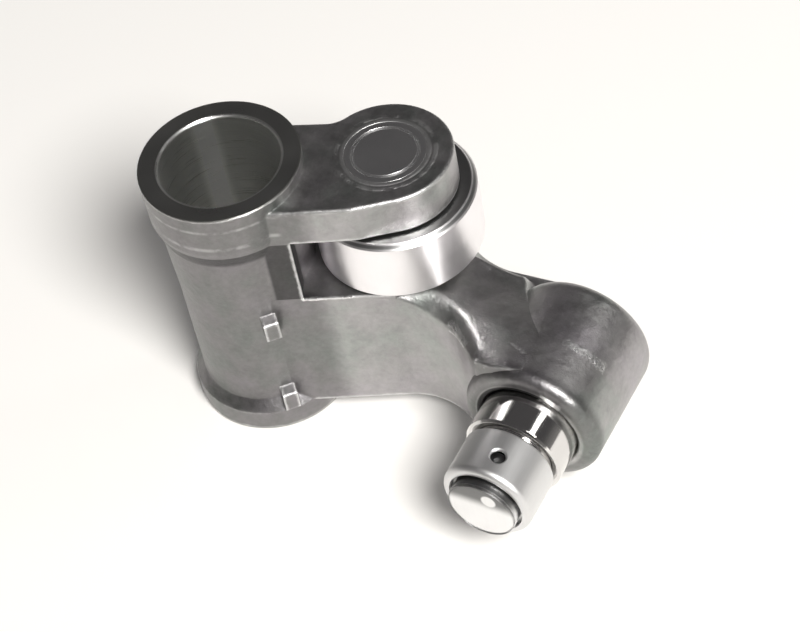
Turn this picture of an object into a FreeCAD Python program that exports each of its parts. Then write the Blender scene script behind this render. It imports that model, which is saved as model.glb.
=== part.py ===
import FreeCAD, Part
import math
import operator
import os
import Sketcher

# Shaft-mounted roller rocker arm with a hydraulic lash adjuster and a swivel foot.
# Millimetres. The shaft runs along Z, its lower collar stands on z = 0, the adjuster points to -Y.

doc = FreeCAD.newDocument("rocker_arm")
vector = FreeCAD.Vector

# Driving dimensions
sizes = {
    # Shaft tube and its two collars
    "shaft_bore_radius": 9.0,
    "tube_length": 47.0,
    "tube_radius": 10.55,
    "tube_shoulder_radius": 10.95,
    "tube_taper_length": 11.0,
    "collar_radius": 12.0,
    "lower_collar_height": 3.6,
    "lower_collar_blend": 1.9,
    "upper_collar_height": 7.4,
    "upper_collar_slope": 3.6,
    "upper_collar_draft": 0.1,
    "bore_chamfer": 0.3,
    # Roller station
    "roller_x": 21.05,
    "roller_y": 11.2,
    "roller_radius": 12.5,
    "roller_width": 11.0,
    "roller_side_play": 0.55,
    "roller_relief": 0.6,
    "roller_chamfer": 0.75,
    "roller_crown": 0.06,
    "fork_floor": 26.65,
    "ear_radius": 9.95,
    "ear_thickness": 6.3,
    "ear_edge_round": 0.45,
    "ear_front_round": 3.0,
    "front_root_x": 6.0,
    "front_root_y": -7.75,
    "front_slope": 0.455,
    "upper_front_end_x": 21.6,
    "lower_front_end_x": 25.0,
    "ear_front_angle": 56.0,
    "back_root_x": 1.0,
    "back_root_y": 9.95,
    "back_slope": 0.4,
    "back_end_x": 15.0,
    "neck_fillet": 4.0,
    "stub_front_x": 12.7,
    "stub_front_root_y": -0.75,
    "stub_back_x": 5.5,
    "stub_back_angle": 48.8,
    # Needle bearing
    "pin_radius": 5.75,
    "pin_depth": 9.0,
    "pin_end_gap": 0.3,
    "pin_flare": 0.3,
    "stake_groove_inner": 4.6,
    "stake_groove_width": 0.55,
    "stake_groove_depth": 0.45,
    "needle_radius": 1.25,
    "needle_running_gap": 0.02,
    "needle_end_gap": 0.4,
    # Arm web between the roller station and the adjuster boss
    "arm_bottom": 3.5,
    "web_top": 17.4,
    "web_back_y": 17.6,
    "web_back_end_inset": 6.0,
    "web_back_end_y": 18.3,
    "web_tail_inset": 2.6,
    "web_tail_y": 16.8,
    "web_waist_radius": 12.0,
    "web_waist_end_x": 35.5,
    "web_waist_end_y": -0.6,
    "web_cheek_x": 40.3,
    "web_cheek_y": -4.6,
    "valley_radius": 5.5,
    "boss_root_radius": 2.0,
    # Adjuster boss
    "adjuster_x": 48.5,
    "adjuster_z": 14.0,
    "boss_radius": 10.75,
    "boss_mouth_y": -5.8,
    "boss_mouth_round": 1.7,
    "boss_end_wall": 2.6,
    "boss_end_round": 2.5,
    "adjuster_bore_radius": 7.55,
    "adjuster_bore_depth": 17.8,
    "mouth_chamfer": 0.45,
    # Oil drilling and its pressed plug
    "oil_hole_radius": 1.25,
    "oil_hole_z": 8.0,
    "oil_shaft_y": 1.5,
    "plug_radius": 1.6,
    "plug_depth": 4.0,
    # Cast lugs on the tube
    "lug_angle": 45.0,
    "lug_width": 2.3,
    "lug_length": 4.3,
    "lug_height": 1.8,
    "lug_root": 1.0,
    "lug_taper": 0.7,
    "lug_round": 0.45,
    "upper_lug_z": 20.0,
    "lower_lug_z": 3.7,
    # Lash adjuster, measured outwards from the floor of its bore
    "sleeve_clearance": 0.05,
    "sleeve_wall": 1.95,
    "sleeve_open_end": 6.5,
    "spring_room": 8.7,
    "sleeve_shoulder_depth": 0.5,
    "sleeve_edge": 0.35,
    "cap_land_radius": 6.4,
    "cap_groove_radius": 6.0,
    "cap_groove_length": 1.25,
    "ball_end_radius": 4.6,
    "ball_centre_reach": 1.0,
    "ball_rim_radius": 4.3,
    "ball_neck_length": 1.05,
    "plunger_clearance": 0.03,
    "plunger_wall": 1.6,
    "plunger_length": 15.3,
    "plunger_seat_thickness": 2.5,
    "plunger_waist_radius": 4.95,
    "plunger_shoulder": 8.1,
    "plunger_notch_width": 2.0,
    "plunger_notch_depth": 1.0,
    "port_radius": 1.5,
    "check_ball_radius": 2.0,
    "valve_gap": 0.01,
    "cage_flange_radius": 4.9,
    "cage_radius": 2.9,
    "cage_sheet": 0.35,
    "cage_length": 5.5,
    "cage_hole_radius": 0.8,
    "cage_bend": 0.3,
    "check_spring_radius": 1.1,
    "check_spring_wire": 0.13,
    "check_spring_turns": 3,
    "plunger_spring_radius": 4.25,
    "plunger_spring_wire": 0.5,
    "plunger_spring_turns": 4,
    "spring_seat_gap": 0.03,
    "clip_wire": 0.42,
    "clip_opening": 40.0,
    "clip_gap": 0.05,
    # Retainer cap and swivel foot, measured outwards from the floor of the sleeve
    "cap_play": 0.05,
    "cap_sheet": 0.5,
    "cap_gap": 0.6,
    "cap_lip_reach": 8.3,
    "cap_lip_radius": 5.75,
    "cap_corner": 1.0,
    "cap_crimp": 0.35,
    "cap_hole_radius": 1.1,
    "cap_hole_rim": 0.25,
    "cap_hole_reach": 4.6,
    "cap_hole_angle": 81.0,
    "foot_socket_gap": 0.04,
    "foot_top_reach": 3.2,
    "foot_waist_radius": 5.5,
    "foot_flange_radius": 5.95,
    "foot_flange_reach": 5.6,
    "foot_flange_thickness": 1.6,
    "foot_face_radius": 5.2,
    "foot_face_reach": 9.0,
    "foot_chamfer": 0.3,
    "foot_dimple_radius": 1.3,
    "foot_dimple_depth": 0.45,
}
needle_count = 17

# How far a cutting outline runs past the face that it opens
past = 1

sheet = doc.addObject("Spreadsheet::Sheet", "Sizes")
for row, (alias, number) in enumerate(sizes.items(), start=1):
    sheet.set(f"A{row}", alias)
    sheet.set(f"B{row}", str(number))
    sheet.setAlias(f"B{row}", alias)
doc.recompute()


class Size:
    """A length or angle that carries both its number and the expression that drives it."""

    def __init__(self, value, text):
        self.value = value
        self.text = text

    def __neg__(self):
        return Size(-self.value, f"(0 - {self.text})")


def sized(item):
    return item if isinstance(item, Size) else Size(float(item), f"({item})")


def arithmetic(action, sign):
    def method(left, right):
        left, right = sized(left), sized(right)
        return Size(action(left.value, right.value), f"({left.text} {sign} {right.text})")

    return method


for word, sign in (("add", "+"), ("sub", "-"), ("mul", "*"), ("truediv", "/")):
    forward = arithmetic(getattr(operator, word), sign)
    setattr(Size, f"__{word}__", forward)
    setattr(Size, f"__r{word}__", lambda right, left, forward=forward: forward(left, right))


def sine(angle):
    return Size(math.sin(math.radians(angle.value)), f"sin({angle.text})")


def cosine(angle):
    return Size(math.cos(math.radians(angle.value)), f"cos({angle.text})")


def root(item):
    return Size(math.sqrt(item.value), f"sqrt({item.text})")


class Driven:
    """Every driving dimension by name, bound to its cell."""


dim = Driven()
for alias in sizes:
    setattr(dim, alias, Size(float(sheet.get(alias)), f"Sizes.{alias}"))


def bind(item, name, size):
    item.setExpression(name, sized(size).text)


# Places that several pieces share
def roller_bottom():
    return dim.fork_floor + dim.roller_side_play


def ear_bottom():
    return roller_bottom() + dim.roller_width + dim.roller_side_play


def ear_top():
    return ear_bottom() + dim.ear_thickness


def pin_bottom():
    return dim.fork_floor - dim.pin_depth


def needle_circle():
    return dim.pin_radius + dim.needle_running_gap + dim.needle_radius


def race_radius():
    return needle_circle() + dim.needle_radius + dim.needle_running_gap


def bore_floor_y():
    return dim.boss_mouth_y + dim.adjuster_bore_depth


def boss_end_y():
    return bore_floor_y() + dim.boss_end_wall


def sleeve_floor():
    return dim.plunger_length + dim.spring_room


def sleeve_shoulder():
    return sleeve_floor() - dim.sleeve_shoulder_depth


def ball_centre():
    return sleeve_floor() + dim.ball_centre_reach


def sleeve_radius():
    return dim.adjuster_bore_radius - dim.sleeve_clearance


def sleeve_bore():
    return sleeve_radius() - dim.sleeve_wall


def plunger_radius():
    return sleeve_bore() - dim.plunger_clearance


def check_ball_centre():
    reach = root(dim.check_ball_radius * dim.check_ball_radius - dim.port_radius * dim.port_radius)
    return dim.plunger_length + reach + dim.valve_gap


def cage_end():
    return dim.plunger_length + dim.cage_length


def front_wall(x):
    return dim.front_root_y + dim.front_slope * (x - dim.front_root_x)


def back_wall(x):
    return dim.back_root_y + dim.back_slope * (x - dim.back_root_x)


# Helpers
def new_body(label):
    body = doc.addObject("PartDesign::Body", label)
    body.Label = label
    return body


def origin_plane(body, role):
    return [(item, "") for item in body.Origin.OriginFeatures if item.Role == role]


def new_sketch(body, name, plane, x=0, y=0, z=0):
    sketch = body.newObject("Sketcher::SketchObject", name)
    sketch.AttachmentSupport = origin_plane(body, plane)
    sketch.MapMode = "FlatFace"
    for letter, place in (("x", x), ("y", y), ("z", z)):
        bind(sketch, f"AttachmentOffset.Base.{letter}", place)
    return sketch


def fix(sketch, kind, places, size, name):
    number = sketch.addConstraint(Sketcher.Constraint(kind, *places, sized(size).value))
    sketch.renameConstraint(number, name)
    bind(sketch, f"Constraints.{name}", size)


def arc_between(start, end, radius, turn):
    chord = end - start
    half = chord.Length / 2
    left = vector(-chord.y, chord.x, 0).normalize()
    centre = (start + end) * 0.5 + left * (turn * math.sqrt(max(radius**2 - half**2, 0)))
    first, last = (start, end) if turn > 0 else (end, start)
    angles = [math.atan2(point.y - centre.y, point.x - centre.x) for point in (first, last)]
    if angles[1] < angles[0]:
        angles[1] += 2 * math.pi
    return Part.ArcOfCircle(Part.Circle(centre, vector(0, 0, 1), radius), *angles)


def outline(sketch, corners):
    """Close a chain of corners (x, y), or (x, y, radius, turn) where an arc leaves the corner."""
    corners = [tuple(sized(item) for item in corner[:3]) + tuple(corner[3:]) for corner in corners]
    points = [vector(corner[0].value, corner[1].value, 0) for corner in corners]
    ends = []
    for index, corner in enumerate(corners):
        start, end = points[index], points[(index + 1) % len(points)]
        if len(corner) == 2:
            number = sketch.addGeometry(Part.LineSegment(start, end), False)
            ends.append((number, 1, 2))
        else:
            number = sketch.addGeometry(arc_between(start, end, corner[2].value, corner[3]), False)
            ends.append((number, 1, 2) if corner[3] > 0 else (number, 2, 1))
            fix(sketch, "Radius", (number,), corner[2], f"{sketch.Name}_r{index}")
    for index, (number, head, tail) in enumerate(ends):
        after = ends[(index + 1) % len(ends)]
        sketch.addConstraint(Sketcher.Constraint("Coincident", number, tail, after[0], after[1]))
        fix(sketch, "DistanceX", (-1, 1, number, head), corners[index][0], f"{sketch.Name}_x{index}")
        fix(sketch, "DistanceY", (-1, 1, number, head), corners[index][1], f"{sketch.Name}_y{index}")


def ring(sketch, x, y, radius):
    centre = vector(sized(x).value, sized(y).value, 0)
    number = sketch.addGeometry(Part.Circle(centre, vector(0, 0, 1), sized(radius).value), False)
    name = f"{sketch.Name}_c{number}"
    fix(sketch, "DistanceX", (-1, 1, number, 3), x, name + "x")
    fix(sketch, "DistanceY", (-1, 1, number, 3), y, name + "y")
    fix(sketch, "Radius", (number,), radius, name + "r")


def feature(body, kind, name, sketch, **lengths):
    item = body.newObject(f"PartDesign::{kind}", name)
    item.Profile = sketch
    for key, size in lengths.items():
        bind(item, key, size)
    sketch.Visibility = False
    doc.recompute()
    return item


def turned(body, name, corners, kind="Revolution", **place):
    """Turn a profile (radius, height) about the upright axis of its sketch."""
    sketch = new_sketch(body, f"{name}_profile", "XZ_Plane", **place)
    outline(sketch, corners)
    item = feature(body, kind, name, sketch)
    item.ReferenceAxis = (sketch, ["V_Axis"])
    item.Angle = 360
    doc.recompute()
    return item


def turned_along_y(body, name, corners, kind="Revolution"):
    """Turn a profile (radius, y) about the adjuster's axis."""
    sketch = new_sketch(body, f"{name}_profile", "XY_Plane", x=dim.adjuster_x, z=dim.adjuster_z)
    outline(sketch, corners)
    item = feature(body, kind, name, sketch)
    item.ReferenceAxis = (sketch, ["V_Axis"])
    item.Angle = 360
    doc.recompute()
    return item


def prism(body, name, low, high, corners):
    sketch = new_sketch(body, f"{name}_outline", "XY_Plane", z=low)
    outline(sketch, corners)
    return feature(body, "Pad", name, sketch, Length=high - low)


def disc(body, name, low, high, x, y, radius):
    sketch = new_sketch(body, f"{name}_outline", "XY_Plane", z=low)
    ring(sketch, x, y, radius)
    return feature(body, "Pad", name, sketch, Length=high - low)


def dressed(body, kind, name, wanted, **lengths):
    """Fillet or chamfer the edges of the body's last feature that pass the test."""
    tip = body.Tip
    names = [f"Edge{n}" for n, edge in enumerate(tip.Shape.Edges, start=1) if wanted(edge)]
    item = body.newObject(f"PartDesign::{kind}", name)
    item.Base = (tip, names)
    for key, size in lengths.items():
        bind(item, key, size)
    doc.recompute()


def middle(edge):
    return edge.valueAt((edge.FirstParameter + edge.LastParameter) / 2)


def level_at(edge, height):
    """Whether the whole edge lies at one height."""
    box = edge.BoundBox
    return abs(box.ZMin - height.value) < 0.01 and abs(box.ZMax - height.value) < 0.01


def upright(edge):
    return edge.BoundBox.XLength < 0.01 and edge.BoundBox.YLength < 0.01


def distance(point, x, y):
    """How far a point stands from an upright axis."""
    return math.hypot(point.x - sized(x).value, point.y - sized(y).value)


def seat_in_bore(item):
    """Stand a piece of the adjuster on the floor of its bore, pointing out of the mouth."""
    bind(item, "Placement.Base.x", dim.adjuster_x)
    bind(item, "Placement.Base.y", bore_floor_y())
    bind(item, "Placement.Base.z", dim.adjuster_z)
    item.Placement.Rotation = FreeCAD.Rotation(vector(1, 0, 0), 90)


# Rocker body, one casting
def tube_profile():
    top = dim.tube_length
    collar_foot = top - dim.upper_collar_height
    shoulder = collar_foot - dim.upper_collar_slope
    return [
        (0, 0),
        (dim.collar_radius, 0),
        (dim.collar_radius, dim.lower_collar_height),
        (dim.tube_radius, dim.lower_collar_height + dim.lower_collar_blend),
        (dim.tube_radius, shoulder - dim.tube_taper_length),
        (dim.tube_shoulder_radius, shoulder),
        (dim.collar_radius - dim.upper_collar_draft, collar_foot),
        (dim.collar_radius, top),
        (0, top),
    ]


def neck_outline(front_end):
    angle = dim.ear_front_angle
    return [
        (dim.front_root_x, dim.front_root_y),
        (front_end, front_wall(front_end)),
        (dim.roller_x + dim.ear_radius * cosine(angle), dim.roller_y - dim.ear_radius * sine(angle)),
        (dim.roller_x, dim.roller_y),
        (dim.back_end_x, back_wall(dim.back_end_x)),
        (dim.back_root_x, dim.back_root_y),
    ]


def web_outline():
    start, end = dim.roller_x, dim.lower_front_end_x
    return [
        (start, front_wall(start)),
        (end, front_wall(end), dim.web_waist_radius, -1),
        (dim.web_waist_end_x, dim.web_waist_end_y),
        (dim.web_cheek_x, dim.web_cheek_y),
        (dim.adjuster_x, dim.boss_mouth_y + dim.boss_mouth_round),
        (dim.adjuster_x, boss_end_y() - dim.boss_end_round),
        (dim.adjuster_x - dim.web_tail_inset, dim.web_tail_y),
        (dim.adjuster_x - dim.web_back_end_inset, dim.web_back_end_y),
        (dim.roller_x + dim.ear_radius, dim.web_back_y),
        (dim.roller_x, dim.roller_y + dim.ear_radius / 2),
    ]


def boss_profile():
    mouth, end, radius = dim.boss_mouth_y, boss_end_y(), dim.boss_radius
    front, back = dim.boss_mouth_round, dim.boss_end_round
    return [
        (0, mouth),
        (radius - front, mouth, front, 1),
        (radius, mouth + front),
        (radius, end - back, back, 1),
        (radius - back, end),
        (0, end),
    ]


def add_ear(body, name, low, high, front_end):
    prism(body, f"{name}_neck", low, high, neck_outline(front_end))
    disc(body, f"{name}_end", low, high, dim.roller_x, dim.roller_y, dim.ear_radius)

    def in_the_neck(edge):
        point = middle(edge)
        near_back = point.y > dim.roller_y.value and point.x < dim.roller_x.value - dim.ear_radius.value / 2
        outside = distance(point, 0, 0) > dim.collar_radius.value
        return upright(edge) and near_back and outside and low.value < point.z < high.value

    def at_the_front_corner(edge):
        corner = distance(middle(edge), front_end, front_wall(front_end))
        return upright(edge) and corner < 0.01 and low.value < middle(edge).z < high.value

    def on_the_top_outline(edge):
        return level_at(edge, high) and distance(middle(edge), 0, 0) > dim.collar_radius.value

    dressed(body, "Fillet", f"{name}_neck_fillet", in_the_neck, Radius=dim.neck_fillet)
    dressed(body, "Fillet", f"{name}_front_corner", at_the_front_corner, Radius=dim.ear_front_round)
    dressed(body, "Fillet", f"{name}_edge", on_the_top_outline, Radius=dim.ear_edge_round)


def cut_valley(body):
    """Drop the arm behind the lower ear to the web, with a hollow corner round the ear."""
    floor, wall, corner = dim.web_top, dim.ear_radius, dim.valley_radius
    above = dim.fork_floor + past
    reach = dim.adjuster_x + dim.boss_radius
    turned(body, "valley", [
        (wall, above),
        (wall, floor + corner, corner, 1),
        (wall + corner, floor),
        (reach, floor),
        (reach, above),
    ], "Groove", x=dim.roller_x, z=-dim.roller_y)


def fillet_boss_root(body):
    def at_the_boss_foot(edge):
        box = edge.BoundBox
        return level_at(edge, dim.web_top) and box.XMin > dim.web_waist_end_x.value and box.XLength < 0.01

    dressed(body, "Fillet", "boss_root_fillet", at_the_boss_foot, Radius=dim.boss_root_radius)


def add_lugs(body):
    """Two short cast pegs that lean out of the tube's front."""
    foot = dim.tube_radius - dim.lug_root
    tip, corner = dim.tube_radius + dim.lug_height, dim.lug_round
    for name, low in (("upper_lug", dim.upper_lug_z), ("lower_lug", dim.lower_lug_z)):
        sketch = new_sketch(body, f"{name}_profile", "XZ_Plane")
        sketch.AttachmentOffset = FreeCAD.Placement(vector(), FreeCAD.Rotation(vector(0, -1, 0), 45))
        bind(sketch, "AttachmentOffset.Rotation.Angle", dim.lug_angle)
        high = low + dim.lug_length - dim.lug_taper
        outline(sketch, [
            (foot, low - dim.lug_taper),
            (tip - corner, low, corner, 1),
            (tip, low + corner),
            (tip, high - corner, corner, 1),
            (tip - corner, high),
            (foot, high + dim.lug_taper),
        ])
        peg = feature(body, "Pad", name, sketch, Length=dim.lug_width)
        peg.Midplane = True
        doc.recompute()


def add_stubs(body):
    front = dim.stub_front_x
    back = dim.stub_back_x
    prism(body, "front_stub", dim.fork_floor, ear_bottom(), [
        (dim.front_root_x, dim.front_root_y),
        (front, front_wall(front)),
        (dim.tube_radius, dim.stub_front_root_y),
        (dim.shaft_bore_radius, 0),
    ])
    wall_middle = (dim.shaft_bore_radius + dim.tube_radius) / 2
    angle = dim.stub_back_angle
    prism(body, "back_stub", dim.fork_floor, ear_bottom(), [
        (dim.back_root_x, dim.back_root_y),
        (wall_middle * cosine(angle), wall_middle * sine(angle)),
        (back, back_wall(back)),
    ])


def cut_roller_relief(body):
    sketch = new_sketch(body, "roller_relief_outline", "XY_Plane", z=dim.fork_floor)
    ring(sketch, dim.roller_x, dim.roller_y, dim.roller_radius + dim.roller_relief)
    cut = feature(body, "Pocket", "roller_relief", sketch, Length=ear_bottom() - dim.fork_floor)
    cut.Reversed = True
    doc.recompute()


def cut_bores(body):
    low, high, radius = 0, dim.tube_length, dim.shaft_bore_radius
    flare = dim.bore_chamfer + past
    turned(body, "shaft_bore", [
        (0, low - past),
        (radius + flare, low - past),
        (radius, low + dim.bore_chamfer),
        (radius, high - dim.bore_chamfer),
        (radius + flare, high + past),
        (0, high + past),
    ], "Groove")
    mouth, floor = dim.boss_mouth_y, bore_floor_y()
    radius, flare = dim.adjuster_bore_radius, dim.mouth_chamfer + past
    turned_along_y(body, "adjuster_bore", [
        (0, mouth - past),
        (radius + flare, mouth - past),
        (radius, mouth + dim.mouth_chamfer),
        (radius, floor),
        (0, floor),
    ], "Groove")
    top, radius = ear_top(), dim.pin_radius
    turned(body, "pin_bore", [
        (0, pin_bottom()),
        (radius, pin_bottom()),
        (radius, top - dim.pin_flare),
        (radius + dim.pin_flare + past, top + past),
        (0, top + past),
    ], "Groove", x=dim.roller_x, z=-dim.roller_y)


def oil_line():
    """Start, direction and length of the drilling from the boss to the shaft bore."""
    drop = dim.adjuster_z - dim.oil_hole_z
    side = dim.adjuster_x + root(dim.boss_radius * dim.boss_radius - drop * drop)
    start = vector(side.value, bore_floor_y().value, dim.oil_hole_z.value)
    end = vector(0, dim.oil_shaft_y.value, dim.oil_hole_z.value)
    return start, (end - start).normalize(), (end - start).Length


def cut_oil_drilling(body):
    start, along, length = oil_line()
    outside = start - along * dim.plug_depth.value
    for name, radius, depth in (
        ("oil_drilling", dim.oil_hole_radius, length),
        ("plug_seat", dim.plug_radius, dim.plug_depth.value * 2),
    ):
        drill = body.newObject("PartDesign::SubtractiveCylinder", name)
        bind(drill, "Radius", radius)
        drill.Height = depth
        drill.AttachmentOffset = FreeCAD.Placement(outside, FreeCAD.Rotation(vector(0, 0, 1), along))
        drill.AttachmentSupport = origin_plane(body, "XY_Plane")
        drill.MapMode = "FlatFace"
        doc.recompute()


def rocker_body():
    body = new_body("rocker_body")
    prism(body, "arm_block", dim.arm_bottom, dim.fork_floor, web_outline())
    cut_valley(body)
    disc(body, "lower_ear_end", dim.arm_bottom, dim.fork_floor, dim.roller_x, dim.roller_y, dim.ear_radius)
    prism(body, "lower_ear_neck", dim.arm_bottom, dim.fork_floor, neck_outline(dim.lower_front_end_x))
    add_ear(body, "upper_ear", ear_bottom(), ear_top(), dim.upper_front_end_x)
    turned(body, "tube", tube_profile())
    turned_along_y(body, "boss", boss_profile())
    fillet_boss_root(body)
    add_stubs(body)
    add_lugs(body)
    cut_roller_relief(body)
    cut_bores(body)
    cut_oil_drilling(body)
    return body


# Oil drilling plug, a pressed ball
def oil_plug():
    start, along, _ = oil_line()
    ball = doc.addObject("Part::Sphere", "oil_plug")
    bind(ball, "Radius", dim.plug_radius)
    centre = start + along * (dim.plug_depth.value / 2)
    ball.Placement = FreeCAD.Placement(centre, FreeCAD.Rotation(vector(0, 0, 1), along))
    return ball


# Roller, its pin and the needles between them
def roller_pin():
    body = new_body("roller_pin")
    low, top, radius = pin_bottom() + dim.pin_end_gap, ear_top(), dim.pin_radius
    groove, width, depth = dim.stake_groove_inner, dim.stake_groove_width, dim.stake_groove_depth
    turned(body, "pin", [
        (0, low),
        (radius - dim.pin_flare, low),
        (radius, low + dim.pin_flare),
        (radius, top - dim.pin_flare),
        (radius + dim.pin_flare, top),
        (groove + width, top),
        (groove + width / 2, top - depth),
        (groove, top),
        (0, top),
    ], x=dim.roller_x, z=-dim.roller_y)
    return body


def roller():
    body = new_body("roller")
    low, high = roller_bottom(), roller_bottom() + dim.roller_width
    outer, chamfer, inner = dim.roller_radius, dim.roller_chamfer, race_radius()
    edge = outer - dim.roller_crown
    waist = (low + high) / 2
    turned(body, "outer_ring", [
        (inner, low),
        (edge - chamfer, low),
        (edge, low + chamfer),
        (outer, waist),
        (edge, high - chamfer),
        (edge - chamfer, high),
        (inner, high),
    ], x=dim.roller_x, z=-dim.roller_y)
    return body


def needle(index):
    item = doc.addObject("Part::Cylinder", f"needle_{index + 1:02d}")
    angle = Size(360 * index / needle_count, f"(360 * {index} / {needle_count})")
    bind(item, "Radius", dim.needle_radius)
    bind(item, "Height", dim.roller_width - 2 * dim.needle_end_gap)
    bind(item, "Placement.Base.x", dim.roller_x + needle_circle() * cosine(angle))
    bind(item, "Placement.Base.y", dim.roller_y + needle_circle() * sine(angle))
    bind(item, "Placement.Base.z", roller_bottom() + dim.needle_end_gap)
    return item


# Lash adjuster, each piece turned about its own axis and seated in the bore
def lash_plunger():
    body = new_body("lash_plunger")
    outer, waist, end = plunger_radius(), dim.plunger_waist_radius, dim.plunger_length
    reservoir = outer - dim.plunger_wall
    seat = end - dim.plunger_seat_thickness
    turned(body, "plunger", [
        (dim.port_radius, seat),
        (reservoir, seat),
        (reservoir, 0),
        (waist, 0),
        (waist, dim.plunger_shoulder),
        (outer, dim.plunger_shoulder),
        (outer, end),
        (dim.port_radius, end),
    ])
    sketch = new_sketch(body, "oil_notch_outline", "XY_Plane")
    side, reach = dim.plunger_notch_width / 2, outer + past
    outline(sketch, [(-reach, -side), (reach, -side), (reach, side), (-reach, side)])
    notch = feature(body, "Pocket", "oil_notch", sketch, Length=dim.plunger_notch_depth)
    notch.Reversed = True
    seat_in_bore(body)
    return body


def clip_centre():
    return dim.plunger_shoulder - dim.clip_gap - dim.clip_wire


def lash_sleeve():
    body = new_body("lash_sleeve")
    outer, bore, edge = sleeve_radius(), sleeve_bore(), dim.sleeve_edge
    rim_rise = root(dim.ball_end_radius * dim.ball_end_radius - dim.ball_rim_radius * dim.ball_rim_radius)
    groove_end = sleeve_shoulder() + dim.cap_groove_length
    clip_room = dim.clip_wire + dim.clip_gap
    turned(body, "sleeve", [
        (bore, dim.sleeve_open_end),
        (outer - edge, dim.sleeve_open_end),
        (outer, dim.sleeve_open_end + edge),
        (outer, sleeve_shoulder() - edge),
        (outer - edge, sleeve_shoulder()),
        (dim.cap_groove_radius, sleeve_shoulder()),
        (dim.cap_groove_radius, groove_end),
        (dim.cap_land_radius, groove_end),
        (dim.cap_land_radius, ball_centre() + dim.ball_neck_length),
        (dim.ball_rim_radius, ball_centre() + rim_rise, dim.ball_end_radius, 1),
        (0, ball_centre() + dim.ball_end_radius),
        (0, sleeve_floor()),
        (bore, sleeve_floor()),
        (bore, clip_centre() + clip_room),
        (bore + clip_room, clip_centre() + clip_room),
        (bore + clip_room, clip_centre() - clip_room),
        (bore, clip_centre() - clip_room),
    ])
    seat_in_bore(body)
    return body


def plunger_clip():
    ring_piece = doc.addObject("Part::Torus", "plunger_clip")
    bind(ring_piece, "Radius1", sleeve_bore())
    bind(ring_piece, "Radius2", dim.clip_wire)
    bind(ring_piece, "Angle3", 360 - dim.clip_opening)
    seat_in_bore(ring_piece)
    bind(ring_piece, "Placement.Base.y", bore_floor_y() - clip_centre())
    return ring_piece


def check_ball():
    ball = doc.addObject("Part::Sphere", "check_ball")
    bind(ball, "Radius", dim.check_ball_radius)
    seat_in_bore(ball)
    bind(ball, "Placement.Base.y", bore_floor_y() - check_ball_centre())
    return ball


def valve_cage():
    body = new_body("valve_cage")
    start, end, metal = dim.plunger_length, cage_end(), dim.cage_sheet
    outer, bend = dim.cage_radius, dim.cage_bend
    inner = outer - metal
    turned(body, "cage", [
        (inner, start),
        (dim.cage_flange_radius, start),
        (dim.cage_flange_radius, start + metal),
        (outer + bend, start + metal, bend, -1),
        (outer, start + metal + bend),
        (outer, end - metal - bend, metal + bend, 1),
        (outer - metal - bend, end),
        (dim.cage_hole_radius, end),
        (dim.cage_hole_radius, end - metal),
        (outer - metal - bend, end - metal, bend, -1),
        (inner, end - metal - bend),
    ])
    seat_in_bore(body)
    return body


def coil_spring(label, radius, wire, turns, low, high):
    body = new_body(label)
    sketch = new_sketch(body, f"{label}_wire", "XZ_Plane")
    first = low + wire + dim.spring_seat_gap
    last = high - wire - dim.spring_seat_gap
    ring(sketch, radius, first, wire)
    coil = body.newObject("PartDesign::AdditiveHelix", f"{label}_coil")
    coil.Profile = sketch
    coil.ReferenceAxis = (sketch, ["V_Axis"])
    coil.Mode = 2
    bind(coil, "Height", last - first)
    bind(coil, "Turns", turns)
    sketch.Visibility = False
    doc.recompute()
    seat_in_bore(body)
    return body


def plunger_spring():
    return coil_spring(
        "plunger_spring",
        dim.plunger_spring_radius,
        dim.plunger_spring_wire,
        dim.plunger_spring_turns,
        dim.plunger_length + dim.cage_sheet,
        sleeve_floor(),
    )


def check_spring():
    reach = dim.check_ball_radius + dim.check_spring_wire
    rise = root(reach * reach - dim.check_spring_radius * dim.check_spring_radius)
    return coil_spring(
        "check_spring",
        dim.check_spring_radius,
        dim.check_spring_wire,
        dim.check_spring_turns,
        check_ball_centre() + rise - dim.check_spring_wire,
        cage_end() - dim.cage_sheet,
    )


# Sheet metal cap that holds the foot on the sleeve
def foot_retainer():
    body = new_body("foot_retainer")
    inner = dim.cap_land_radius + dim.cap_play
    metal, corner, lip = dim.cap_sheet, dim.cap_corner, sleeve_floor() + dim.cap_lip_reach
    outer = inner + metal
    top = sleeve_shoulder() + dim.cap_gap
    crimp = inner - dim.cap_crimp
    turned(body, "cap", [
        (crimp, top),
        (outer - dim.cap_crimp, top),
        (outer, top + dim.cap_crimp),
        (outer, lip - corner, corner, 1),
        (outer - corner, lip),
        (dim.cap_lip_radius, lip),
        (dim.cap_lip_radius, lip - metal),
        (outer - corner, lip - metal, corner - metal, -1),
        (inner, lip - corner),
        (inner, top + metal + dim.cap_crimp / 2),
        (crimp, top + dim.cap_crimp),
    ])
    sketch = new_sketch(body, "side_hole_outline", "XZ_Plane")
    sketch.AttachmentOffset = FreeCAD.Placement(vector(), FreeCAD.Rotation(vector(0, 1, 0), 90))
    bind(sketch, "AttachmentOffset.Rotation.Angle", 90 + dim.cap_hole_angle)
    ring(sketch, 0, sleeve_floor() + dim.cap_hole_reach, dim.cap_hole_radius)
    hole = feature(body, "Pocket", "side_hole", sketch, Length=outer + past)
    hole.Reversed = True
    doc.recompute()

    def on_the_outer_rim(edge):
        as_wide = abs(edge.BoundBox.ZLength - 2 * dim.cap_hole_radius.value) < 0.01
        return as_wide and distance(middle(edge), 0, 0) > outer.value - metal.value / 2

    dressed(body, "Chamfer", "side_hole_rim", on_the_outer_rim, Size=dim.cap_hole_rim)
    seat_in_bore(body)
    return body


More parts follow.
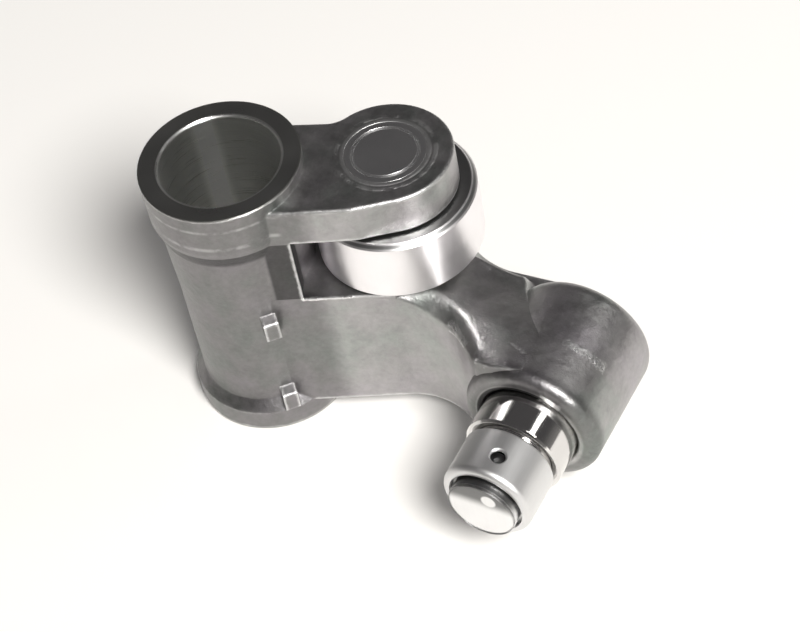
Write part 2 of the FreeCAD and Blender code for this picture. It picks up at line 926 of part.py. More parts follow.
def swivel_foot():
    body = new_body("swivel_foot")
    socket = dim.ball_end_radius + dim.foot_socket_gap
    top, end = sleeve_floor() + dim.foot_top_reach, sleeve_floor() + dim.foot_face_reach
    flange_start = sleeve_floor() + dim.foot_flange_reach
    flange_end = flange_start + dim.foot_flange_thickness
    depth = top - ball_centre()
    mouth = root(socket * socket - depth * depth)
    waist, flange, face = dim.foot_waist_radius, dim.foot_flange_radius, dim.foot_face_radius
    dimple, sink = dim.foot_dimple_radius, dim.foot_dimple_depth
    dimple_curve = (dimple * dimple + sink * sink) / (2 * sink)
    turned(body, "foot", [
        (mouth, top),
        (waist, top),
        (waist, flange_start),
        (flange, flange_start),
        (flange, flange_end),
        (face, flange_end),
        (face, end - dim.foot_chamfer),
        (face - dim.foot_chamfer, end),
        (dimple, end, dimple_curve, -1),
        (0, end - sink),
        (0, ball_centre() + socket, socket, -1),
    ])
    seat_in_bore(body)
    return body


def main():
    pieces = [rocker_body(), oil_plug(), roller_pin(), roller()]
    pieces += [needle(index) for index in range(needle_count)]
    pieces += [lash_plunger(), lash_sleeve(), plunger_clip(), check_ball(), valve_cage()]
    pieces += [plunger_spring(), check_spring(), foot_retainer(), swivel_foot()]
    doc.recompute()
    failed = [item.Name for item in doc.Objects if {"Invalid", "Error"} & set(item.State)]
    bad = [piece.Label for piece in pieces if piece.Shape.isNull() or not piece.Shape.isValid()]
    if failed or bad:
        raise RuntimeError(f"not built: {failed} {bad}")
    os.makedirs("parts", exist_ok=True)
    for piece in pieces:
        piece.Shape.exportStep(f"parts/{piece.Label}.step")
        print(piece.Label, len(piece.Shape.Solids), round(piece.Shape.Volume, 2), len(piece.Shape.Faces))


main()
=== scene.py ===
import math

import bpy
import numpy
from mathutils import Matrix, Vector


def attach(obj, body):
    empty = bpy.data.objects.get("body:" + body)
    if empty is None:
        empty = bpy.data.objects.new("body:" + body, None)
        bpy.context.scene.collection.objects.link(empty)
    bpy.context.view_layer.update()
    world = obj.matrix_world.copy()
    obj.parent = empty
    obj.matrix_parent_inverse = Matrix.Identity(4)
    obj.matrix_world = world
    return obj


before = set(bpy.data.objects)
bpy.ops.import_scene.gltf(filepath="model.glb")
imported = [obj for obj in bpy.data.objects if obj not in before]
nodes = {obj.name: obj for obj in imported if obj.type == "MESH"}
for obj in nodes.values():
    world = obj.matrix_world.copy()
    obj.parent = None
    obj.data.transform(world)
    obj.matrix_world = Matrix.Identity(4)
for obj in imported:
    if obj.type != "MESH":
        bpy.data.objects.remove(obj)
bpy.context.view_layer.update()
print("frame loaded:", len(nodes), "nodes")


def metres(point):  # the dictionaries below hold millimetres
    return [coordinate / 1000 for coordinate in point]


class Value:
    # an output socket of a finish; arithmetic on it adds Math nodes
    def __init__(self, finish, socket):
        self.finish = finish
        self.socket = socket

    def __add__(self, other):
        return self.finish.sum("ADD", self, other)

    def __radd__(self, other):
        return self.finish.sum("ADD", other, self)

    def __sub__(self, other):
        return self.finish.sum("SUBTRACT", self, other)

    def __rsub__(self, other):
        return self.finish.sum("SUBTRACT", other, self)

    def __mul__(self, other):
        return self.finish.sum("MULTIPLY", self, other)

    def __rmul__(self, other):
        return self.finish.sum("MULTIPLY", other, self)


class Finish:
    # the nodes of one material or of the world; lengths in its masks are millimetres
    def __init__(self, name, owner=None):
        self.owner = owner or bpy.data.materials.new(name)
        self.owner.use_nodes = True
        self.tree = self.owner.node_tree
        self.tree.nodes.clear()
        self.place = None

    def node(self, kind, settings, sockets, out=0):
        made = self.tree.nodes.new(kind)
        for name, setting in settings.items():
            if name == "stops":  # of a colour ramp: (place, colour) from low to high
                elements = made.color_ramp.elements
                elements[0].position, elements[0].color = setting[0]
                elements[1].position, elements[1].color = setting[-1]
                for position, colour in setting[1:-1]:
                    elements.new(position).color = colour
            else:
                setattr(made, name, setting)
        for name, value in sockets.items():
            if isinstance(value, Value):
                self.tree.links.new(value.socket, made.inputs[name])
            else:
                made.inputs[name].default_value = value
        return Value(self, made.outputs[out]) if len(made.outputs) else None

    def sum(self, operation, *values):
        return self.node("ShaderNodeMath", {"operation": operation}, dict(enumerate(values)))

    def clamped(self, value):
        return self.node("ShaderNodeClamp", {}, {"Value": value})

    def rise(self, value, low, high):  # 0 at low, 1 at high, smooth between
        return self.node("ShaderNodeMapRange", {"interpolation_type": "SMOOTHSTEP"},
                         {"Value": value, "From Min": low, "From Max": high})

    def below(self, value, limit, soft):  # 1 up to the limit, 0 once past it by soft
        return self.rise(value, limit + soft, limit)

    def above(self, value, limit, soft):  # 0 up to the limit, 1 once past it by soft
        return self.rise(value, limit, limit + soft)

    def band(self, value, middle, half, soft):  # 1 within half of the middle
        return self.below(self.sum("ABSOLUTE", value - middle), half, soft)

    def radius(self, u, v):  # distance from an axis
        return self.sum("SQRT", u * u + v * v)

    def axes(self):  # the three Object coordinates in millimetres
        self.place = self.node("ShaderNodeTexCoord", {}, {}, out="Object")
        return [self.node("ShaderNodeSeparateXYZ", {}, {"Vector": self.place}, out=axis) * 1000
                for axis in range(3)]

    def across(self, origin, way):  # how far the place lies from the origin along a unit direction
        offset = self.node("ShaderNodeVectorMath", {"operation": "SUBTRACT"},
                           {0: self.place, 1: metres(origin)})
        return self.node("ShaderNodeVectorMath", {"operation": "DOT_PRODUCT"},
                         {0: offset, 1: way}, out="Value") * 1000

    def distance(self, start, along, share):  # from the point of a line at a share of its length
        reach = self.node("ShaderNodeVectorMath", {"operation": "SCALE"},
                          {0: metres(along), "Scale": share})
        point = self.node("ShaderNodeVectorMath", {"operation": "ADD"},
                          {0: reach, 1: metres(start)})
        return self.node("ShaderNodeVectorMath", {"operation": "DISTANCE"},
                         {0: self.place, 1: point}, out="Value") * 1000

    def noise(self, perMm, detail, rough, stretch=None):
        place = self.place
        if stretch:
            place = self.node("ShaderNodeMapping", {}, {"Vector": place, "Scale": stretch})
        return self.node("ShaderNodeTexNoise", {}, {"Vector": place, "Scale": perMm * 1000,
                                                    "Detail": detail, "Roughness": rough})

    def swayed(self, base, noises, shares):  # a base level, moved by its share of each noise
        for name, share in shares.items():
            base = base + (noises[name] - .5) * share
        return base

    def edge(self, reach):  # 1 on outward corners, 0 a little way in
        inner = self.node("ShaderNodeAmbientOcclusion",
                          {"inside": True, "only_local": True, "samples": 6},
                          {"Distance": reach / 1000}, out="AO")
        return 1 - inner

    def shade(self, red, green, blue):
        return self.node("ShaderNodeCombineColor", {}, {0: red, 1: green, 2: blue})

    def mixed(self, factor, first, second, blend="MIX"):
        return self.node("ShaderNodeMix", {"data_type": "RGBA", "blend_type": blend},
                         {0: factor, 6: first, 7: second}, out=2)

    def softCorner(self, radius):
        return self.node("ShaderNodeBevel", {"samples": 6}, {"Radius": radius / 1000})

    def bump(self, height, depth, normal):  # depth in millimetres for a height of 1
        return self.node("ShaderNodeBump", {}, {"Height": height, "Distance": depth / 1000,
                                                "Strength": 1.0, "Normal": normal})

    def metal(self, colour, roughness, normal):
        shader = self.node("ShaderNodeBsdfPrincipled", {},
                           {"Base Color": colour, "Roughness": roughness, "Metallic": 1.0,
                            "Normal": normal})
        self.node("ShaderNodeOutputMaterial", {}, {"Surface": shader})
        return self.owner


def grey(level):
    return (level, level, level, 1)


def dress(material, *names):
    for name in names:
        slots = nodes[name].data.materials
        slots.clear()
        slots.append(material)


# cast arm: where its machined and worn places lie, and where shade is painted on it
castArm = {"shaftRadius": 9.0, "height": 47.0, "earTop": 45.05, "rollerAxis": (21.05, 11.2),
           "rollerGap": (26.75, 38.65), "gapFromShaft": 10.9, "collarReach": 12.4,
           "sleeveAxis": (48.5, 14.0), "sleeveRadius": 7.5, "mouth": -5.8, "boreFloor": 12.0}

# its skin: satin precision casting; a noise is features per mm, detail, roughness and stretch
# the worn colour also lights every outward edge, partly real wear and partly a painted highlight
castSkin = {"colour": .40, "rough": .42, "corner": .45, "wornAndSheen": .86, "gateGloss": .14,
            "noises": {"cloud": (.09, 4.0, .6), "patches": (.34, 4.0, .6), "mottle": (1.15, 3.0, .6),
                       "ripple": (.62, 4.0, .55), "grain": (3.4, 2.0, .65), "scuff": (1.5, 4.0, .75),
                       "turned": (7.0, 1.0, .4, (.02, .02, 1))},
            "colourShares": {"cloud": .14, "patches": .20, "mottle": .14, "grain": .06},
            "roughShares": {"patches": .20, "grain": .10},
            "tints": [(.30, (.93, 1.0, .95, 1)), (.5, (1, .985, .985, 1)), (.70, (1.0, .95, 1.0, 1))],
            "depths": {"ripple": .12, "grain": .024, "turned": .05, "rings": .10, "scuff": .06},
            "edges": {"reach": .6, "ragged": .5, "from": .10, "over": .28},
            "lightened": {"edges": .9, "gates": .95, "rings": .45, "collars": .3}}

# machined surfaces: each margin is how far past its face a mask holds and how softly it ends
machinedSkin = {"shaftMargin": (.35, .15), "endMargin": (.05, .25), "sleeveMargin": (.1, .2),
                "face": .42, "bore": .72, "warmth": (0, .004, -.015), "rough": .30, "lines": .14,
                # the bright band down the bore is a painted highlight of the lamp's streak
                "boreHighlight": {"azimuth": 137.0, "half": .4, "soft": 2.2, "fade": 4, "level": .45}}

# painted shade: the roller's gap, the recess and the round at the boss's mouth, darkened in colour
castShade = {"gap": .62, "gapEdge": .1, "gapSoft": .3, "recess": .05, "recessRadius": 8.3, "recessSoft": .25,
             "recessDepth": (.6, .3), "recessTo": (50, 5), "round": .42, "roundDepth": (1.6, 1.6),
             "roundSoft": .5}

# scuffed gate marks: short strokes on the skin, each with its two ends and its reach
gateMarks = {"strokes": [((12.6, -4.75, 26.6), (19.2, -1.75, 26.6), .42),
                         ((-7.3, 8.9, 47.0), (-5.9, 7.7, 47.0), .5),
                         ((51.8, 3.0, 24.2), (56.6, 3.1, 21.0), 1.0),
                         ((33.6, 1.2, 23.2), (39.6, -2.6, 23.2), .75),
                         ((41.6, .9, 24.2), (46.8, -1.0, 24.5), .45),
                         ((33.5, .4, 22.4), (42.0, -4.6, 23.6), .30)],
             "ragged": 2.4, "core": .2}

# rings that the staking tool and the cutter left round the pin, and turned lines on the collar
toolMarks = {"ringRadii": (6.35, 7.3), "ringHalf": .12, "ringSoft": .38, "ringBreaks": (.42, .6),
             "earMargin": (.1, .3), "collarLines": ((44.4, .35), (40.8, .5)), "lineHalf": .05,
             "collarSoft": .8, "lineBreaks": (.35, .6)}


def maskMachined(f, place, arm, cut):  # the shaft's bore, and everything a tool has cut
    bore = f.below(place["fromShaft"] - arm["shaftRadius"], *cut["shaftMargin"])
    ends = f.below(arm["height"] - place["z"], *cut["endMargin"]) + f.below(place["z"], *cut["endMargin"])
    sleeve = f.below(place["fromSleeve"] - arm["sleeveRadius"], *cut["sleeveMargin"])
    sleeve = sleeve * f.below(place["y"] - arm["boreFloor"], *cut["sleeveMargin"])
    return bore, f.clamped(bore + ends + sleeve)


def maskBoreHighlight(f, place, boreHighlight):  # painted highlight: a bright band down one side of the shaft's bore, where the lamp's streak lies
    azimuth = math.radians(boreHighlight["azimuth"])
    facing = place["x"] * math.cos(azimuth) + place["y"] * math.sin(azimuth)
    beside = place["y"] * math.cos(azimuth) - place["x"] * math.sin(azimuth)
    return f.band(beside, 0, boreHighlight["half"], boreHighlight["soft"]) * f.above(facing, 0, boreHighlight["fade"])


def maskGates(f, scuff, marks):
    gates = None
    for start, end, reach in marks["strokes"]:
        along = Vector(end) - Vector(start)
        share = f.sum("DIVIDE", f.across(start, along.normalized()), along.length)
        side = f.distance(start, along, f.clamped(share))
        stroke = f.rise(side + (scuff - .5) * reach * marks["ragged"], reach, reach * marks["core"])
        gates = f.sum("MAXIMUM", gates, stroke) if gates else stroke
    return gates


def maskToolMarks(f, place, patches, arm, marks):
    inner, outer = (f.band(place["fromPin"], radius, marks["ringHalf"], marks["ringSoft"])
                    for radius in marks["ringRadii"])
    rings = inner + outer * f.rise(patches, *marks["ringBreaks"])
    rings = rings * f.below(arm["earTop"] - place["z"], *marks["earMargin"])
    upper, lower = (f.band(place["z"], height, marks["lineHalf"], soft)
                    for height, soft in marks["collarLines"])
    collars = (upper + lower) * f.below(place["fromShaft"], arm["collarReach"], marks["collarSoft"])
    return rings, collars * f.rise(patches, *marks["lineBreaks"])


def shadeCasting(f, place, arm, shade):  # painted shade: what is left of the light in the gap and on the mouth's round, darkened into the colour
    low, high = arm["rollerGap"]
    gap = f.above(place["z"], low, shade["gapEdge"]) * f.below(place["z"], high - shade["gapEdge"],
                                                              shade["gapEdge"])
    gap = gap * f.above(place["fromShaft"], arm["gapFromShaft"], shade["gapSoft"])
    mouthRound = f.below(place["y"] - arm["mouth"], *shade["roundDepth"])
    mouthRound = mouthRound * f.above(place["fromSleeve"], shade["recessRadius"], shade["roundSoft"])
    return (1 - gap * shade["gap"]) * (1 - mouthRound * shade["round"])


def maskRecessShadow(f, place, arm, shade):  # painted shadow: the dark ring round the sleeve, on the upper left only
    ring = f.below(place["fromSleeve"], shade["recessRadius"], shade["recessSoft"])
    ring = ring * f.below(place["y"] - arm["mouth"], *shade["recessDepth"])
    return ring * f.below(place["x"], *shade["recessTo"])


def makeCastAluminium(arm, skin, cut, shade):
    f = Finish("castAluminium")
    x, y, z = f.axes()
    sleeveX, sleeveZ = arm["sleeveAxis"]
    pinX, pinY = arm["rollerAxis"]
    place = {"x": x, "y": y, "z": z, "fromShaft": f.radius(x, y),
             "fromSleeve": f.radius(x - sleeveX, z - sleeveZ), "fromPin": f.radius(x - pinX, y - pinY)}
    noises = {name: f.noise(*values) for name, values in skin["noises"].items()}

    bore, machined = maskMachined(f, place, arm, cut)
    gates = maskGates(f, noises["scuff"], gateMarks)
    rings, collars = maskToolMarks(f, place, noises["patches"], arm, toolMarks)
    edges = skin["edges"]
    # worn edges, lightened more than wear alone would, so that they also carry a painted highlight
    wornAndSheen = f.above(f.edge(edges["reach"]) + (noises["ripple"] - .5) * edges["ragged"],
                   edges["from"], edges["over"])

    # the painted shade of the roller's gap and of the mouth's round darkens the casting's level
    level = f.swayed(skin["colour"], noises, skin["colourShares"]) * shadeCasting(f, place, arm, shade)
    tinted = f.node("ShaderNodeValToRGB", {"stops": skin["tints"]}, {"Fac": noises["cloud"]})
    body = f.mixed(1.0, tinted, f.shade(level, level, level), "MULTIPLY")
    share = skin["lightened"]
    lightened = wornAndSheen * share["edges"] + gates * share["gates"] + rings * share["rings"]
    body = f.mixed(f.clamped(lightened + collars * share["collars"]), body, grey(skin["wornAndSheen"]))

    turned = (noises["turned"] - .5) * cut["lines"]
    # painted highlight: the bright band down the bore, added to the bare metal's level
    boreHighlight = maskBoreHighlight(f, place, cut["boreHighlight"]) * bore * cut["boreHighlight"]["level"]
    bareLevel = cut["face"] + bore * (cut["bore"] - cut["face"]) + boreHighlight + turned
    bare = f.shade(*(bareLevel + warmth for warmth in cut["warmth"]))
    # painted shadow of the recess, laid over both the casting and the bare metal
    colour = f.mixed(maskRecessShadow(f, place, arm, shade), f.mixed(machined, body, bare), grey(shade["recess"]))

    castRough = f.swayed(skin["rough"], noises, skin["roughShares"]) - gates * skin["gateGloss"]
    roughness = castRough * (1 - machined) + machined * (cut["rough"] + turned)

    heights = {"ripple": noises["ripple"] * (1 - machined), "grain": noises["grain"] * (1 - machined),
               "turned": noises["turned"] * bore, "rings": rings, "scuff": noises["scuff"] * gates}
    normal = f.softCorner(skin["corner"])
    for name, height in heights.items():
        normal = f.bump(height, skin["depths"][name], normal)
    return f.metal(colour, roughness, normal)


castAluminium = makeCastAluminium(castArm, castSkin, machinedSkin, castShade)
dress(castAluminium, "rocker_body")

# crest of the web: the casting's top between the lower ear and the boss, level with both
webCrest = {"from": 20.0, "to": 48.2, "bottom": 3.55, "thinnest": .05, "smoothTo": 35,
            "columns": 90, "rows": 44, "crowding": 1.3,
            "earRadius": 9.5, "earTop": 26.45, "dip": 1.75, "dipWidth": 7.0,
            "rearDip": 3.0, "rearSpan": (2, 14), "back": 17.4, "low": 17.2, "backSlope": 3.4,
            "tuck": (38.5, 42.5, 4.6), "wallRadius": 9.2,
            "shoulder": 2.3, "shoulderWidth": 3.4, "shoulderRise": (21.5, 32.0), "shoulderEnd": (33.0, 46.0),
            "frontRoot": (6.0, -7.75), "frontSlope": .455, "waist": (25.0, 35.5),
            "waistCentre": (28.73, -10.51), "waistRadius": 12.0,
            "cheek": [(35.5, -.6), (40.3, -4.6), (43.0, -4.9), (48.5, -4.15)],
            "sunk": .02, "proud": .04, "settle": 2, "edge": .3}
partingFlash = {"from": 33.0, "to": 43.5, "starts": 1, "ends": 3, "height": .20, "width": .35,
                "uneven": .5, "waves": (2.3, 5.1)}


def smooth(value, low, high):
    share = min(max((value - low) / (high - low), 0), 1)
    return share * share * (3 - 2 * share)


def frontOfWeb(x, crest):  # y of the arm's front wall: straight, round the waist, then the cheek
    first, last = crest["waist"]
    if x < first:
        rootX, rootY = crest["frontRoot"]
        y = rootY + crest["frontSlope"] * (x - rootX)
    elif x < last:
        centreX, centreY = crest["waistCentre"]
        y = centreY + math.sqrt(crest["waistRadius"] ** 2 - (x - centreX) ** 2)
    else:
        y = float(numpy.interp(x, *zip(*crest["cheek"])))
    outward = smooth(x, crest["from"], crest["from"] + crest["settle"])
    return y + crest["sunk"] - (crest["proud"] + crest["sunk"]) * outward


def bottomOfWeb(x, crest):  # flat below the web, inside the boss's wall over the bore
    axisX, axisZ = castArm["sleeveAxis"]
    if abs(x - axisX) >= crest["wallRadius"]:
        return crest["bottom"]
    return axisZ + math.sqrt(crest["wallRadius"] ** 2 - (x - axisX) ** 2)


def backOfWeb(x, crest):  # the crest tucks in front of the boss's rear end
    first, last, inward = crest["tuck"]
    return crest["back"] - inward * smooth(x, first, last)


def flashHeight(x, inward, flash):  # the parting line's thin, uneven ridge along the front edge
    share = smooth(x, flash["from"], flash["from"] + flash["starts"])
    share *= 1 - smooth(x, flash["to"] - flash["ends"], flash["to"])
    uneven = 1 + flash["uneven"] * math.prod(math.sin(wave * x) for wave in flash["waves"])
    return flash["height"] * share * uneven * math.exp(-(inward / flash["width"]) ** 2)


def topOfWeb(x, y, crest):
    fromRoller = math.dist((x, y), castArm["rollerAxis"])
    top = crest["earTop"] - crest["dip"] * smooth(fromRoller, crest["earRadius"],
                                                  crest["earRadius"] + crest["dipWidth"])
    top -= crest["rearDip"] * smooth(y, *crest["rearSpan"])
    back = backOfWeb(x, crest)
    top += (crest["low"] - top) * smooth(y, back - crest["backSlope"], back)
    inward = y - frontOfWeb(x, crest)
    shoulder = crest["shoulder"] * smooth(x, *crest["shoulderRise"])
    shoulder *= 1 - smooth(x, *crest["shoulderEnd"])
    top -= shoulder * max(1 - inward / crest["shoulderWidth"], 0) ** 2
    if inward < crest["edge"]:  # the front edge is rounded
        top -= crest["edge"] - math.sqrt(crest["edge"] ** 2 - (crest["edge"] - inward) ** 2)
    top += flashHeight(x, inward, partingFlash)
    return max(top, bottomOfWeb(x, crest) + crest["thinnest"])


def makeWebCrest(crest):
    bpy.ops.object.select_all(action="DESELECT")
    bpy.ops.mesh.primitive_grid_add(x_subdivisions=crest["columns"], y_subdivisions=crest["rows"], size=2)
    piece = bpy.context.object
    piece.name = "web_crest"
    bpy.ops.object.mode_set(mode="EDIT")
    bpy.ops.mesh.select_all(action="SELECT")
    bpy.ops.mesh.extrude_region_move(TRANSFORM_OT_translate={"value": (0, 0, 1)})
    bpy.ops.mesh.select_all(action="SELECT")
    bpy.ops.mesh.normals_make_consistent(inside=False)
    bpy.ops.object.mode_set(mode="OBJECT")
    for corner in piece.data.vertices:  # the grid runs from -1 to 1, its upper layer lies at 1
        across, deep, layer = corner.co
        x = crest["from"] + (crest["to"] - crest["from"]) * (across + 1) / 2
        front = frontOfWeb(x, crest)
        y = front + (backOfWeb(x, crest) - front) * ((deep + 1) / 2) ** crest["crowding"]
        z = topOfWeb(x, y, crest) if layer > .5 else bottomOfWeb(x, crest)
        corner.co = metres((x, y, z))
    bpy.ops.object.shade_smooth_by_angle(angle=math.radians(crest["smoothTo"]))
    piece.data.materials.append(castAluminium)
    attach(piece, "arm")


makeWebCrest(webCrest)
print("casting finished")

# ground and turned steel; the lay stretches its fine lines along one axis
alongY = (1, .03, 1)
alongZ = (1, 1, .03)
steels = {
    "rollerSteel": {"colour": .93, "tint": (0, -.02, -.01), "rough": .34, "lines": .03, "lay": alongZ,
                    "nodes": ["roller"]},
    "pinSteel": {"colour": .76, "tint": (0, 0, 0), "rough": .30, "lines": .10, "lay": alongZ,
                 "nodes": ["roller_pin"]},
    "sleeveChrome": {"colour": .70, "tint": (0, -.01, -.02), "rough": .10, "lines": .04, "lay": alongY,
                     "nodes": ["lash_sleeve"]},
    "capSteel": {"colour": .74, "tint": (0, 0, 0), "rough": .46, "lines": .06, "lay": alongY,
                 "nodes": ["foot_retainer"]},
    "footSteel": {"colour": .86, "tint": (0, 0, 0), "rough": .36, "lines": .05, "lay": alongZ,
                  "nodes": ["swivel_foot"]},
    "innerSteel": {"colour": .55, "tint": (0, 0, 0), "rough": .30, "lines": .10, "lay": alongZ,
                   "nodes": ["lash_plunger", "check_ball", "valve_cage"]},
    "springSteel": {"colour": .48, "tint": (0, 0, -.01), "rough": .34, "lines": .08, "lay": alongZ,
                    "nodes": ["plunger_clip", "plunger_spring", "check_spring"]},
    "plugSteel": {"colour": .50, "tint": (0, 0, -.01), "rough": .32, "lines": .10, "lay": alongZ,
                  "nodes": ["oil_plug"]},
    "needleSteel": {"colour": .66, "tint": (0, 0, 0), "rough": .22, "lines": .06, "lay": alongZ,
                    "nodes": ["needle_%02d" % number for number in range(1, 18)]},
}
steelSkin = {"cloud": (.12, 3.0, .6), "lines": (6.0, 2.0, .5), "cloudLevel": .12, "cloudRough": .08,
             "lineDepth": .006, "corner": .12, "edgeReach": .35, "edgeRise": (.2, .6), "edgeShare": .5,
             "edgeLevel": .86}
# painted shade on the roller's flat ends, with a thin painted highlight ring near its rim
rollerFlankShade = {"axis": castArm["rollerAxis"], "edge": 12.1, "soft": .2, "ring": 11.7, "ringHalf": .06,
               "ringSoft": .14, "level": .30}
# painted shade near the foot's top, with a small painted highlight spot
footShade = {"glint": (50.0, 16.7), "spotRadius": .95, "spotSoft": .35, "line": (14.5, 16.7), "level": .20}


def shadeFlank(f, body, place, flank):  # painted shade: the roller's flat ends darker than its rim, with a thin ring near the rim left bright as a painted highlight
    fromPin = f.radius(place[0] - flank["axis"][0], place[1] - flank["axis"][1])
    dark = f.below(fromPin, flank["edge"], flank["soft"])
    dark = dark * (1 - f.band(fromPin, flank["ring"], flank["ringHalf"], flank["ringSoft"]))
    return f.mixed(dark, body, grey(flank["level"]))


def shadeFootTop(f, body, place, cloud, mark):  # painted shade: darker near its top, with a small spot left bright as a painted highlight
    fromSpot = f.radius(place[0] - mark["glint"][0], place[2] - mark["glint"][1])
    glint = f.below(fromSpot, mark["spotRadius"], mark["spotSoft"])
    shadedTop = f.rise(place[2] + (cloud - .5), *mark["line"]) * (1 - glint)
    return f.mixed(shadedTop, body, grey(mark["level"]))


def makeSteel(name, steel, skin):
    f = Finish(name)
    place = f.axes()
    cloud = f.noise(*skin["cloud"])
    lines = f.noise(*skin["lines"], steel["lay"])
    level = steel["colour"] + (cloud - .5) * skin["cloudLevel"] + (lines - .5) * steel["lines"]
    body = f.shade(*(level + tint for tint in steel["tint"]))
    if name == "rollerSteel":
        body = shadeFlank(f, body, place, rollerFlankShade)
    if name == "footSteel":
        body = shadeFootTop(f, body, place, cloud, footShade)
    edge = f.rise(f.edge(skin["edgeReach"]), *skin["edgeRise"])
    colour = f.mixed(edge * skin["edgeShare"], body, grey(skin["edgeLevel"]))
    roughness = steel["rough"] + (lines - .5) * steel["lines"] + (cloud - .5) * skin["cloudRough"]
    return f.metal(colour, roughness, f.bump(lines, skin["lineDepth"], f.softCorner(skin["corner"])))


steelPaints = {}
for name, steel in steels.items():
    steelPaints[name] = makeSteel(name, steel, steelSkin)
    dress(steelPaints[name], *steel["nodes"])
print("steel finished")

# the swivel foot's pad, a low dome that stands out of its cap
footPad = {"axis": castArm["sleeveAxis"], "from": -20.4, "face": -21.75, "radius": 5.25,
           "round": .45, "segments": 4, "crown": .55, "dimple": .35, "dimpleRadius": .6,
           "sides": 96, "rings": 7, "smoothTo": 40}


def selectFace(piece):  # the flat end that points away from the boss
    for face in piece.data.polygons:
        face.select = face.normal.y < -.99


def makeFootPad(pad):
    depth = pad["from"] - pad["face"]
    flat = pad["radius"] - pad["round"]
    bpy.ops.object.select_all(action="DESELECT")
    bpy.ops.mesh.primitive_cylinder_add(vertices=pad["sides"], radius=pad["radius"] / 1000,
                                        depth=depth / 1000, end_fill_type="NGON",
                                        location=(0, 0, 0), rotation=(math.pi / 2, 0, 0))
    piece = bpy.context.object
    piece.name = "foot_pad"
    bpy.ops.object.transform_apply(location=True, rotation=True, scale=True)
    bpy.ops.object.mode_set(mode="EDIT")
    bpy.ops.mesh.select_all(action="DESELECT")
    bpy.ops.object.mode_set(mode="OBJECT")
    selectFace(piece)
    bpy.ops.object.mode_set(mode="EDIT")
    bpy.ops.mesh.bevel(offset=pad["round"] / 1000, segments=pad["segments"], profile=.5, affect="EDGES")
    bpy.ops.object.mode_set(mode="OBJECT")
    selectFace(piece)
    bpy.ops.object.mode_set(mode="EDIT")
    for _ in range(pad["rings"]):
        bpy.ops.mesh.inset(thickness=flat / (pad["rings"] + .5) / 1000)
    bpy.ops.object.mode_set(mode="OBJECT")
    centre = Vector(metres((pad["axis"][0], (pad["from"] + pad["face"]) / 2, pad["axis"][1])))
    facePlane = -depth / 2000
    for corner in piece.data.vertices:
        reach = math.hypot(corner.co.x, corner.co.z) * 1000
        if corner.co.y < facePlane + 1e-6:  # a corner of the flat end: crown it and sink the middle
            corner.co.y -= pad["crown"] / 1000 * (1 - (reach / flat) ** 2)
            corner.co.y += pad["dimple"] / 1000 * math.exp(-(reach / pad["dimpleRadius"]) ** 2)
        corner.co += centre
    bpy.ops.object.shade_smooth_by_angle(angle=math.radians(pad["smoothTo"]))
    piece.data.materials.append(steelPaints["footSteel"])
    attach(piece, "foot")


makeFootPad(footPad)
print("foot pad made")

# floor, pale, with the object's shadow; in metres, just under the casting
warmWhite = (1, .985, .96)
floor = {"size": 3.0, "height": -.0002, "colour": (.97, .955, .93, 1), "glow": .08}
bpy.ops.object.select_all(action="DESELECT")
bpy.ops.mesh.primitive_plane_add(size=floor["size"], location=(0, 0, floor["height"]))
floorPiece = bpy.context.object
floorPiece.name = "floor"


def makeFloorPaint(floor):  # it glows a little where it is seen, so that no shadow on it is black
    f = Finish("floorPaint")
    camera, glossy, clear = (f.node("ShaderNodeLightPath", {}, {}, out="Is %s Ray" % kind)
                             for kind in ("Camera", "Glossy", "Transmission"))
    seen = f.clamped(camera + glossy + clear)
    paint = f.node("ShaderNodeBsdfDiffuse", {}, {"Color": floor["colour"]})
    glow = f.node("ShaderNodeEmission", {}, {"Color": (*warmWhite, 1), "Strength": 1.0})
    both = f.node("ShaderNodeMixShader", {}, {0: seen * floor["glow"], 1: paint, 2: glow})
    f.node("ShaderNodeOutputMaterial", {}, {"Surface": both})
    return f.owner


floorPiece.data.materials.append(makeFloorPaint(floor))

# studio: a dark ceiling over a dim horizon, white where the camera sees it; a key and a side lamp
studio = {"ceiling": (.075, .072, .073, 1), "horizon": (.22, .212, .205, 1), "ceilingFrom": .45}
lamps = {"key": {"towards": (.56, -.35, .75), "size": .46, "power": 20.0},
         "side": {"towards": (.51, .53, .675), "size": .18, "power": .45}}
lampAim = {"centre": (.02, 0, .02), "distance": 1.2}


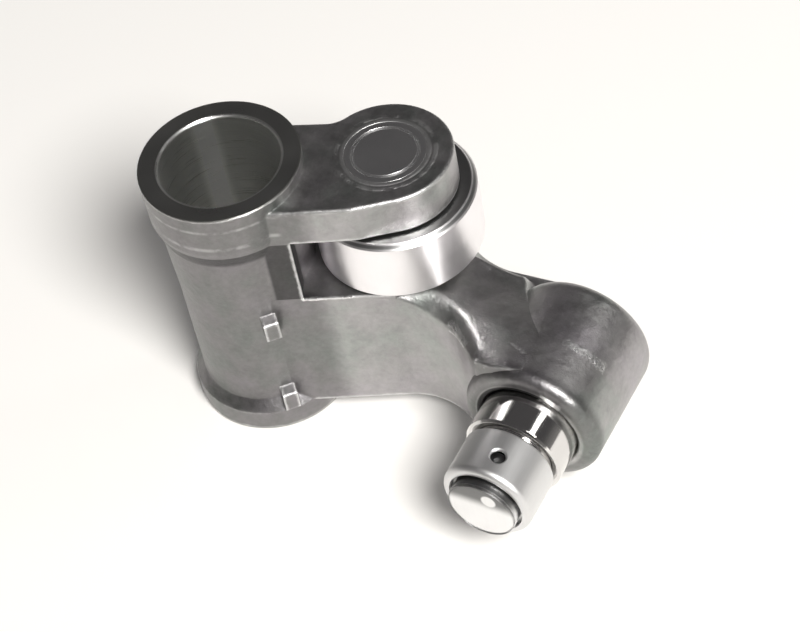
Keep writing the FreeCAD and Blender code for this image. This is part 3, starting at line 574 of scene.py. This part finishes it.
def makeStudio(studio):
    world = bpy.data.worlds.new("studio")
    bpy.context.scene.world = world
    f = Finish("studio", world)
    direction = f.node("ShaderNodeTexCoord", {}, {}, out="Generated")
    up = f.node("ShaderNodeSeparateXYZ", {}, {"Vector": direction}, out=2)
    light = f.mixed(f.rise(up, 0, studio["ceilingFrom"]), studio["horizon"], studio["ceiling"])
    camera = f.node("ShaderNodeLightPath", {}, {}, out="Is Camera Ray")
    colour = f.mixed(camera, light, (1, 1, 1, 1))
    glow = f.node("ShaderNodeBackground", {}, {"Color": colour, "Strength": 1.0})
    f.node("ShaderNodeOutputWorld", {}, {"Surface": glow})


def makeLamp(name, lamp, aim):
    light = bpy.data.lights.new(name, "AREA")
    light.shape = "DISK"
    light.size = lamp["size"]
    light.energy = lamp["power"]
    light.color = warmWhite
    stand = bpy.data.objects.new(name, light)
    bpy.context.collection.objects.link(stand)
    towards = Vector(lamp["towards"])
    stand.location = Vector(aim["centre"]) + towards.normalized() * aim["distance"]
    stand.rotation_euler = towards.to_track_quat("Z", "Y").to_euler()


makeStudio(studio)
for name, lamp in lamps.items():
    makeLamp(name, lamp, lampAim)

# camera: where the photograph was taken from; angles in degrees, places in metres, lens in mm
view = {"azimuth": 36.711, "elevation": 48.433, "roll": -12.377, "distance": .379681,
        "aim": (.025, 0, .025), "right": .00090657, "up": -.00145257, "lens": 117.0, "sensor": 36.0,
        "nearest": .01, "farthest": 20.0}


def makeCamera(view):
    azimuth, elevation, roll = (math.radians(view[angle]) for angle in ("azimuth", "elevation", "roll"))
    back = Vector((math.sin(azimuth) * math.cos(elevation), -math.cos(azimuth) * math.cos(elevation),
                   math.sin(elevation)))
    right = Vector((math.cos(azimuth), math.sin(azimuth), 0))
    up = back.cross(right)
    across = right * math.cos(roll) + up * math.sin(roll)
    upward = up * math.cos(roll) - right * math.sin(roll)
    place = Vector(view["aim"]) + back * view["distance"] + across * view["right"] + upward * view["up"]
    lens = bpy.data.cameras.new("camera")
    lens.lens = view["lens"]
    lens.sensor_width = view["sensor"]
    lens.clip_start = view["nearest"]
    lens.clip_end = view["farthest"]
    camera = bpy.data.objects.new("camera", lens)
    bpy.context.collection.objects.link(camera)
    camera.matrix_world = Matrix.Translation(place) @ Matrix((across, upward, back)).transposed().to_4x4()
    bpy.context.scene.camera = camera


makeCamera(view)
bpy.context.scene.view_settings.view_transform = "Standard"
print("studio made")
